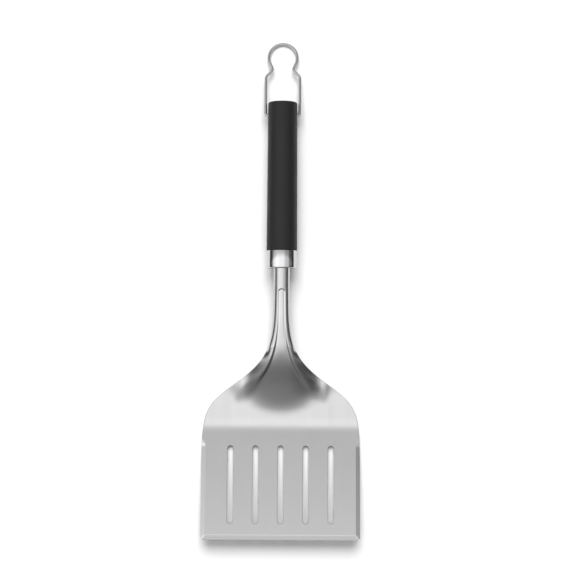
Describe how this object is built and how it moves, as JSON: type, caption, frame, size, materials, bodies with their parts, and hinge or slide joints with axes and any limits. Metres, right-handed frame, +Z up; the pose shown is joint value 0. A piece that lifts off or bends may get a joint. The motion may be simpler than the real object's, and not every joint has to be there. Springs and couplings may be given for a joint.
{
  "type": "grill spatula",
  "caption": "Wide slotted steel turner with a fluted rolled neck, chrome ferrule, round soft grip and a swinging wire hanging loop.",
  "frame": {"origin": "middle of the outline, on the surface that the tool lies on", "axes": "+Y from the blade's front edge towards the hanging loop, +Z up, +X to the right across the blade; the tool lies tipped back on the heel of the blade and the end of the grip"},
  "size_m": [0.1308, 0.409, 0.0285],
  "materials": {
    "blade_steel": "brushed along the length, bright",
    "ferrule_chrome": "polished",
    "grip_rubber": "matte, soft touch",
    "core_plastic": "moulded",
    "plug_plastic": "moulded, fine texture",
    "plain_steel": "zinc plated",
    "wire_steel": "bright drawn wire"
  },
  "bodies": {
    "tool": {"blade_head": "blade_steel", "ferrule": "ferrule_chrome", "grip_sleeve": "grip_rubber", "handle_core": "core_plastic", "end_plug": "plug_plastic", "tang_rod": "plain_steel", "spring_pin": "plain_steel", "tang_washer": "plain_steel", "spring_washer": "plain_steel", "tang_nut": "plain_steel"},
    "loop": {"hanging_loop": "wire_steel"}
  },
  "joints": [
    {"name": "loop_swing", "type": "hinge", "parent": "tool", "child": "loop", "pos_m": [0, 0.14277, 0.0122], "axis": [1, 0, 0], "range_deg": [-155, 172]}
  ]
}
